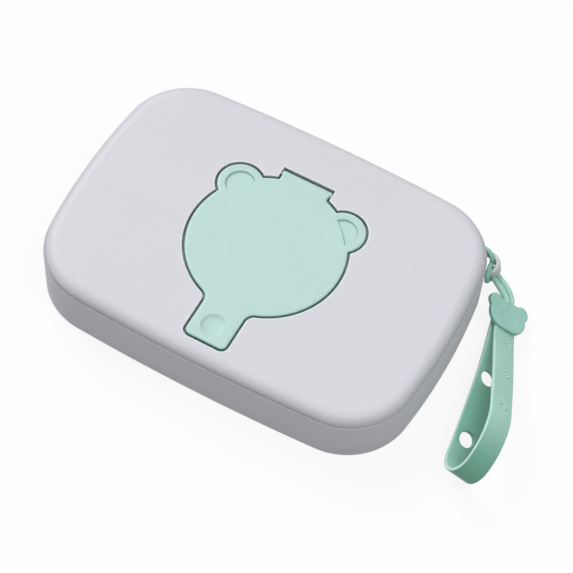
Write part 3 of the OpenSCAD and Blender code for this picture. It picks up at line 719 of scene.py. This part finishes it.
seal = {"profile": [  # a soft ring with a thin outer lip
    (24.0, 29.28), (24.0, 28.3), (24.25, 27.85), (24.6, 27.62), (25.0, 27.60), (25.25, 27.72), (25.35, 27.95),
    (25.5, 28.05), (25.7, 27.95), (25.85, 27.78), (26.1, 27.68), (26.3, 27.76), (26.4, 27.98), (26.4, 29.28)]}
wipeRing = {"profile": [  # flange above, seat for the lips within
    (21.0, 28.28), (20.88, 28.4), (16.0, 28.4), (15.35, 28.25), (15.0, 27.9), (15.0, 27.0), (16.5, 27.0),
    (16.5, 26.1), (15.0, 26.1), (15.0, 25.8), (15.2, 25.6), (18.8, 25.6), (18.99, 25.8), (18.99, 27.5),
    (21.0, 27.5)]}
lips = {"low": 26.1, "top": 27.0, "outer": 16.48, "steps": 96,
        "hole": 4.6, "slits": 8, "slitLength": 6.5, "slitHalf": 0.3}


def lipsOutline():  # the star-shaped opening, point by point
    hole, half, count = lips["hole"], lips["slitHalf"], lips["slits"]
    gap, end = math.asin(half / hole), hole + lips["slitLength"] - half
    inner, middle = hole * math.cos(gap), (hole + end) / 2
    star = [(inner, -half), (middle, -half)] + arcOf((end, 0), half, -90, 90, 4)
    star += [(middle, half), (inner, half)]
    star += arcOf((0, 0), hole, math.degrees(gap), 360 / count - math.degrees(gap), 5)[1:-1]
    return [Matrix.Rotation(2 * math.pi * i / count, 2) @ Vector(spot) for i in range(count) for spot in star]


def makeLips():
    skin = Skin()
    low, top, outer, spots = lips["low"], lips["top"], lips["outer"], lipsOutline()
    star = skin.ring(len(spots), lambda step: Vector((*spots[step], top)))
    under = skin.sweep(star, [(0, low)], lambda step, out, z: Vector((*spots[step], z)))
    around = circleSpot(lips["steps"])
    rimTop = skin.ring(lips["steps"], around, outer - 0.08, top)
    rimLow = skin.sweep(rimTop, [(outer, top - 0.1), (outer, low + 0.1), (outer - 0.08, low)], around)
    skin.fill(star, rimTop)
    skin.fill(under, rimLow)
    return skin.bm


piece(spun(seal["profile"]), "lidSeal", "lid", sealLook, ["lid_seal"])
piece(spun(wipeRing["profile"]), "wipeRing", "cover", whiteLook, ["orifice_ring"])
piece(makeLips(), "wipeLips", "cover", bandLook, ["orifice_lips"])


lug = {
    "at": (87.371, 51.054, 13.75), "turn": 33.7, "centre": 1.5, "middle": 5.3, "sweep": 236, "steps": 72,
    "halfWidth": 1.1, "halfHeight": 2.25, "corner": 0.9,
    "rise": 1.7, "riseFrom": 15, "riseOver": 50, "flare": 1.3, "flareAt": -35, "flareOver": 50,
}
lugPlace = Matrix.Translation(lug["at"]) @ turned(lug["turn"], "Z")


def eased(share):  # from 0 to 1, soft at both ends
    share = min(max(share, 0), 1)
    return share ** 2 * (3 - 2 * share)


def makeLug():
    bm = bmesh.new()
    sweep = math.radians(lug["sweep"])
    first = Matrix.Translation((lug["centre"], 0, 0)) @ turned(-lug["sweep"] / 2, "Z")
    section = frameSpots(lug["halfWidth"], lug["halfHeight"], lug["corner"], 6)
    verts, edges = loopOf(bm, [first @ Vector((lug["middle"] + spot.x, 0, spot.y)) for spot, way in section])
    bm.faces.new(verts)
    made = bmesh.ops.spin(bm, geom=edges + verts, cent=(lug["centre"], 0, 0), axis=(0, 0, 1), angle=sweep,
                          steps=lug["steps"], use_duplicate=False)
    last = [item for item in made["geom_last"] if isinstance(item, bmesh.types.BMEdge)]
    bmesh.ops.edgeloop_fill(bm, edges=last)
    for vert in bm.verts:  # the lower side rises towards the back arm and flares at the front
        if vert.co.z < 0:
            angle = math.degrees(math.atan2(vert.co.y, vert.co.x - lug["centre"]))
            share = -vert.co.z / lug["halfHeight"]
            out = Vector((vert.co.x - lug["centre"], vert.co.y, 0)).normalized()
            rise = lug["rise"] * eased((angle - lug["riseFrom"]) / lug["riseOver"])
            flare = lug["flare"] * eased(1 - abs(angle - lug["flareAt"]) / lug["flareOver"])
            vert.co += share * (rise * Vector((0, 0, 1)) + flare * out)
    return bm


piece(makeLug(), "lugRing", "base", whiteLook, ["strap_lug"], lugPlace)


def bezier(p0, p1, p2, p3, t):
    s = 1 - t
    return s ** 3 * p0 + 3 * s * s * t * p1 + 3 * s * t * t * p2 + t ** 3 * p3


def smoothLine(points, count):
    points = [Vector(p) for p in points]
    last, line = len(points) - 1, []
    for i in range(last):
        a = points[1] - points[0] if i == 0 else (points[i + 1] - points[i - 1]) / 2
        b = points[last] - points[last - 1] if i + 1 == last else (points[i + 2] - points[i]) / 2
        p0, p3 = points[i], points[i + 1]
        line += [bezier(p0, p0 + a / 3, p3 - b / 3, p3, k / count) for k in range(count)]
    return line + [points[last]]


def tubes(routes, radius, place):  # round cords as one mesh; a route's fourth number scales the radius
    curve = bpy.data.curves.new("route", "CURVE")
    curve.dimensions, curve.use_fill_caps = "3D", True
    curve.bevel_depth, curve.bevel_resolution = radius, 7
    for route in routes:
        line = smoothLine([(*spot, 1)[:4] for spot in route], 8)
        spline = curve.splines.new("POLY")
        spline.points.add(len(line) - 1)
        for point, spot in zip(spline.points, line):
            point.co = (*(place @ spot.xyz), 1)
            point.radius = spot.w
    holder = placed("route", curve)
    bpy.context.view_layer.update()
    mesh = bpy.data.meshes.new_from_object(holder.evaluated_get(bpy.context.evaluated_depsgraph_get()))
    bm = bmesh.new()
    bm.from_mesh(mesh)
    bpy.data.objects.remove(holder)
    bmesh.ops.remove_doubles(bm, verts=bm.verts, dist=0.0005)
    return bm


hitch = {
    "radius": 1.1,
    "line": [(4.3, 0.9, -2.1), (4.25, 1.0, 0), (4.15, 1.5, 1.7), (3.85, 2.6, 3), (3.1, 4.3, 3.65),
             (1.9, 5.8, 3.6), (1, 7.35, 2.3), (0.9, 8.1, 0), (1.7, 8.6, -2.8), (3.6, 8.4, -4.9), (6, 6.9, -6),
             (7.6, 4, -6.4), (7.9, 0.6, -6.4), (6.6, -2.2, -6.35), (4.4, -4.1, -5.95), (2.4, -5.6, -4.8),
             (1, -7.5, -2.6), (0.55, -8.1, -0.3), (0.7, -7.5, 2.2), (1.4, -5.6, 3.6), (2.2, -3.4, 3.5),
             (2.9, -1.9, 2.2), (3.4, -1.5, 0), (3.9, -1.4, -2.1)],
}
cords = {
    "swing": (91.198, 53.607, 10.2),
    "left": [(-0.9, -0.9, 0), (0.7, -2.6, 0, 1.04), (2.8, -4.4, 0, 1.16), (7, -7.1, 0, 1.40),
             (10.8, -10, 0.3, 1.46), (13.8, -13.2, 0.6, 1.40), (14.6, -15, 0.6, 1.36)],
    "right": [(0.8, 0.9, 0), (2.8, -1, 0), (5.6, -3.1, 0, 1.04), (9.4, -5.3, -0.1, 1.1),
              (12.8, -7.8, -0.4, 1.1), (15.6, -11, -0.8, 1.05), (16.4, -13.6, -1)],
}
swingPlace = Matrix.Translation(cords["swing"])
piece(tubes([hitch["line"]], hitch["radius"], lugPlace), "strapHitch", "base", shadedHitchLook,
      ["strap_hitch"])
piece(tubes([cords["left"], cords["right"]], hitch["radius"], swingPlace), "strapCords", "strap",
      bandLook, ["strap_cord"])


band = {
    "at": (109.25, 32.81, 8.7), "dip": 35, "turn": 10, "width": 12, "thickness": 1.8, "corner": 0.5,
    "start": (8, -2.4), "heading": 176, "steps": 8, "finer": 3,
    "legs": [(20, -17), (45, 0), (30, 60), (25, 151), (45, -15), (31, 0), (4, 3)],  # length and turn of each
    "sways": [(38, 112, -0.8), (112, 170, -0.3)], "twist": (104, 176, 11),  # from, to and how much
    "holeRadius": 3.8, "holeEdge": 0.28, "holes": [(0, -8, -2.85), (-32.5, -8, 4), (-65, -8, 4)],
    # painted highlight on the edges, painted shade on the inner face and under the bend
    "paintedEdgeShading": -0.8, "paintedInsideShade": (92, 196, -0.1, 0.8), "paintedBendShade": (68, 128, 0.85),
    "holeAlong": 204, "rimReach": 0.7,
}
bandPlace = Matrix.Translation(band["at"]) @ turned(band["turn"], "Z") @ turned(band["dip"], "Y")


def bandLine():  # points (y, z) and directions of the band's middle line
    y, z = band["start"]
    way = math.radians(band["heading"])
    knots = [(Vector((y, z)), way)]
    for length, turn in band["legs"]:
        step, bend = length / band["steps"], math.radians(turn) / band["steps"]
        for _ in range(band["steps"]):
            y, z = y + step * math.cos(way + bend / 2), z + step * math.sin(way + bend / 2)
            way += bend
            knots.append((Vector((y, z)), way))
    line = []
    for (p0, d0), (p3, d3) in zip(knots, knots[1:]):
        reach = (p3 - p0).length / 3
        p1 = p0 + reach * Vector((math.cos(d0), math.sin(d0)))
        p2 = p3 - reach * Vector((math.cos(d3), math.sin(d3)))
        for t in (k / band["finer"] for k in range(band["finer"])):
            line.append((bezier(p0, p1, p2, p3, t), d0 + (d3 - d0) * t))
    return line + [knots[-1]]


def bandSteps():  # the line's points with their distance along it
    line, along, steps = bandLine(), 0, []
    for i, (spot, way) in enumerate(line):
        along += (spot - line[i - 1][0]).length if i else 0
        steps.append((spot, way, along))
    return steps


def hump(along, first, last):  # rises smoothly from 0 to 1 and back
    return math.sin(math.pi * min(max((along - first) / (last - first), 0), 1)) ** 2


def onBand(spot, way, along, across, off):  # a place beside the middle line, which leans a little
    first, last, twist = band["twist"]
    across, off = Matrix.Rotation(math.radians(twist) * hump(along, first, last), 2) @ Vector((across, off))
    for first, last, lean in band["sways"]:
        across += lean * hump(along, first, last)
    return Vector((across, spot.x - off * math.sin(way), spot.y + off * math.cos(way)))


bandPath = bandSteps()


def paintedInsideShade(along):
    first, last, base, more = band["paintedInsideShade"]
    return base + more * hump(along, first, last)


def makeBand():
    skin = Skin()
    section = frameSpots(band["width"] / 2, band["thickness"] / 2, band["corner"], 5)

    def at(spot, way, along, shrink=0):
        return lambda step: onBand(spot, way, along, section[step][0].x - shrink * section[step][1].x,
                                   section[step][0].y - shrink * section[step][1].y)

    def tip(end, sign, back, shrink):  # a ring near the end, drawn in for a rounded end
        spot, way, along = end
        return at(spot + sign * back * Vector((math.cos(way), math.sin(way))), way, along, shrink)

    start, end = bandPath[0], bandPath[-1]
    ring = skin.ring(len(section), tip(start, 1, 0, 0.4))
    skin.fill(ring)
    ring = skin.grow(ring, tip(start, 1, 0.12, 0.12))
    ring = skin.grow(ring, tip(start, 1, 0.4, 0))
    for spot, way, along in bandPath[1:-1]:
        ring = skin.grow(ring, at(spot, way, along), along)  # the tone's place holds the distance for now
    ring = skin.grow(ring, tip(end, -1, 0.12, 0.12))
    ring = skin.grow(ring, tip(end, -1, 0, 0.4))
    skin.fill(ring)
    for vert in skin.bm.verts:  # painted highlight along the edges, painted shade on the inner face and under the bend
        spot, along = section[vert[skin.stepOf]][0], vert[skin.paintedLightOf]
        if abs(spot.x) > band["width"] / 2 - 0.3 * band["corner"]:
            vert[skin.paintedLightOf] = band["paintedEdgeShading"]
        elif spot.y > 0:
            vert[skin.paintedLightOf] = paintedInsideShade(along)
        else:
            first, last, tone = band["paintedBendShade"]
            vert[skin.paintedLightOf] = tone * hump(along, first, last)
    cutters = bmesh.new()
    for y, low, high in band["holes"]:
        softRod(cutters, Matrix.Translation((0, y, (low + high) / 2)), band["holeRadius"], high - low, 0)
    made = cut(skin.bm, cutters, edge=band["holeEdge"])
    paintedLightOf = made.verts.layers.float["deep"]
    for y, low, high in band["holes"][1:]:  # the new rims take the painted shade of the faces round them
        reach = band["holeRadius"] + band["rimReach"]
        near = [vert for vert in made.verts
                if (vert.co.xy - Vector((0, y))).length < reach and vert.co.z < high]
        middle = sum(vert.co.z for vert in near) / len(near)
        for vert in near:
            vert[paintedLightOf] = paintedInsideShade(band["holeAlong"] - abs(y)) if vert.co.z > middle else 0
    return made


piece(makeBand(), "wristBand", "strap", bandLook, ["strap_band"], bandPlace)

prints = {
    "height": 0.42,  # the places are along and across the band
    "places": [(22.4, 0.5), (24.2, 3.4), (42.2, -0.9), (44.0, 2.0), (63.2, -1.7), (65.0, 1.4)],
    "pad": (1.0, 0.8), "toe": (0.44, 0.506), "toes": [(-1.05, 0.95), (0.0, 1.45), (1.05, 0.95)],
    # painted shade round each print's foot, painted highlight on its top
    "paintedFootShade": 0.7, "paintedTopHighlight": -0.8,
}


def makePrints():  # small raised paw marks on the band's outer face
    bm = bmesh.new()
    paintedLightOf = bm.verts.layers.float.new("deep")
    foot, top = prints["paintedFootShade"], prints["paintedTopHighlight"]
    for along, across in prints["places"]:
        before, after = next(pair for pair in zip(bandPath, bandPath[1:]) if pair[1][2] >= along)
        spot = before[0].lerp(after[0], (along - before[2]) / (after[2] - before[2]))
        way = after[1]
        centre = onBand(spot, way, along, across, -band["thickness"] / 2)
        forward = Vector((0, math.cos(way), math.sin(way)))
        outward = Vector((0, math.sin(way), -math.cos(way)))
        marks = [(0, 0, *prints["pad"])] + [(x, y, *prints["toe"]) for x, y in prints["toes"]]
        for x, y, halfX, halfY in marks:
            verts = bmesh.ops.create_uvsphere(bm, u_segments=16, v_segments=8, radius=1)["verts"]
            turn = Matrix((Vector((1, 0, 0)), -forward, outward)).transposed()
            place = Matrix.Translation(centre + x * Vector((1, 0, 0)) - y * forward) @ turn.to_4x4()
            for vert in verts:  # painted shade round the foot, painted highlight on top
                vert[paintedLightOf] = foot + (top - foot) * max(vert.co.z, 0)
            bmesh.ops.scale(bm, vec=(halfX, halfY, prints["height"]), verts=verts)
            bmesh.ops.transform(bm, matrix=place, verts=verts)
    return bm


piece(makePrints(), "bandPrints", "strap", bandLook, [], bandPlace)


stud = {  # the button that closes the band
    "tilt": -6, "at": (-1.2, 0.6, -0.35), "turn": 6.7, "thickness": 2.4, "steps": 240,
    # the edge and foot numbers are painted shade on the head's side and underside
    "side": 3, "radius": 7.5, "earX": 7.8, "earY": 4.8, "earRadius": 3.8, "edge": 0.75, "paintedEdgeShading": 0.75,
    "foot": [(0, 0.45, 0.9), (-0.06, 0.22, 0.9), (-0.22, 0.06, 0.9), (-0.45, 0, 0.5)],
    "dishHalf": (4.6, 3.5), "dishY": -0.9, "dishSteps": 96,  # a shallow oval
    "dish": [(0.08, 0.03), (-0.12, 0.12), (-0.38, 0.22), (-0.7, 0.26), (-1.1, 0.27)],
    "pegRadius": 3, "pegLow": -5.7, "pegHigh": 0.65, "pegEdge": 0.1,
    "knobRadius": 4.2, "knobThickness": 1.2, "knobEdge": 0.4,
}


def studReach(angle, grow):
    far = boxFar(angle, stud["side"], stud["radius"] + grow)
    for side in (-1, 1):
        far = max(far, ballFar(angle, side * stud["side"], 0, stud["radius"] + grow),
                  ballFar(angle, side * stud["earX"], stud["earY"], stud["earRadius"] + grow))
    return far


def makeStud():
    skin = Skin()
    thick, edge, steps = stud["thickness"], stud["edge"], stud["steps"]

    def spot(step, out, z):
        angle = 2 * math.pi * (step + 0.5) / steps
        reach = studReach(angle, out)
        return Vector((reach * math.cos(angle), reach * math.sin(angle), z))

    def dishSpot(step, out, z):
        angle = 2 * math.pi * step / stud["dishSteps"]
        halfX, halfY = stud["dishHalf"]
        return Vector(((halfX + out) * math.cos(angle), stud["dishY"] + (halfY + out) * math.sin(angle), z))

    top = skin.ring(steps, spot, -edge - 0.4, thick)
    dish = skin.ring(stud["dishSteps"], dishSpot, 0.3, thick)
    skin.fill(skin.sweep(dish, [(out, thick - down) for out, down in stud["dish"]], dishSpot))
    # painted shade growing down the rounded edge
    paintedShading = [stud["paintedEdgeShading"] * (i / 6) ** 2 for i in range(7)]
    bottom = skin.sweep(top, rounded(edge, thick, paintedShading) + stud["foot"], spot)
    skin.fill(top, dish)
    skin.fill(bottom)
    bm = skin.bm
    place = turned(stud["tilt"], "X") @ Matrix.Translation(stud["at"]) @ turned(stud["turn"], "Z")
    bmesh.ops.transform(bm, matrix=place, verts=bm.verts)
    low, high, knob = stud["pegLow"], stud["pegHigh"], stud["knobThickness"]
    softRod(bm, Matrix.Translation((0, 0, (low + high) / 2)), stud["pegRadius"], high - low, stud["pegEdge"])
    softRod(bm, Matrix.Translation((0, 0, low - knob / 2 + 0.01)), stud["knobRadius"], knob, stud["knobEdge"])
    return bm


piece(makeStud(), "studHead", "strap", headLook, ["strap_stud"], bandPlace)


for name in ("hinge_pin_left", "hinge_pin_right", "lid_pin"):
    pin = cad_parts[name]  # a pin keeps its shape from the frame
    pin.data.materials.clear()
    pin.data.materials.append(steelLook)
print("pins finished")


studio = {
    "floorHalf": 6, "floorColour": (0.30, 0.30, 0.30), "seenColour": (0.95, 0.95, 0.95), "lift": 0.87,
    "ambient": 0.245,
    "key": {"at": (-1.80, 1.15, 2.10), "size": 1.8, "power": 51.0},
    "fill": {"at": (0.30, -1.40, 0.30), "size": 0.8, "power": 1.6},
    "side": {"at": (-1.40, -0.62, 0.35), "size": 0.8, "power": 3.0},
    "over": {"at": (0.40, -0.14, 0.92), "size": 0.7, "power": 4.1},
}


def cameraSees(finish):  # 1 where the camera, a reflection or a clear part looks at it
    camera, glossy, clear = (finish.add("ShaderNodeLightPath", {}, {}, name)
                             for name in ("Is Camera Ray", "Is Glossy Ray", "Is Transmission Ray"))
    return finish.add("ShaderNodeMath", {"operation": "MINIMUM"}, {0: camera + glossy + clear, 1: 1.0})


def makeFloor():
    bm = bmesh.new()
    bmesh.ops.create_grid(bm, x_segments=1, y_segments=1, size=studio["floorHalf"])
    mesh = meshOf("floor", bm)
    finish = Finish("paleFloor", Specular_IOR_Level=0.0)
    seen = cameraSees(finish)
    finish.shade(finish.blend(seen, studio["floorColour"], studio["seenColour"]), 0.9, [])
    glow = finish.add("ShaderNodeEmission", {}, {"Color": (1, 1, 1), "Strength": 1.0})
    both = finish.add("ShaderNodeMixShader", {}, {0: seen * studio["lift"],
                                                   1: Wire(finish, finish.shader.outputs[0]), 2: glow})
    finish.feed(finish.tree.nodes["Material Output"].inputs["Surface"], both)
    mesh.materials.append(finish.material)
    floor = placed("floor", mesh)


def makeWorld():
    world = bpy.data.worlds.new("world")
    bpy.context.scene.world = world
    world.use_nodes = True
    sky = Finish(world)
    background = world.node_tree.nodes["Background"]
    sky.feed(background.inputs["Color"], (1, 1, 1))
    sky.feed(background.inputs["Strength"], sky.band(cameraSees(sky), 0, 1, studio["ambient"], 1.0))


def makeLamp(name):
    facts = studio[name]
    lamp = bpy.data.lights.new(name, "AREA")
    lamp.shape, lamp.size, lamp.energy = "DISK", facts["size"], facts["power"]
    holder = placed(name, lamp)
    away = Vector(facts["at"])
    holder.matrix_world = Matrix.Translation(away) @ away.to_track_quat("Z", "Y").to_matrix().to_4x4()


makeFloor()
makeWorld()
for name in ("key", "fill", "side", "over"):
    makeLamp(name)
bpy.context.scene.view_settings.view_transform = "Standard"
print("stage lit")
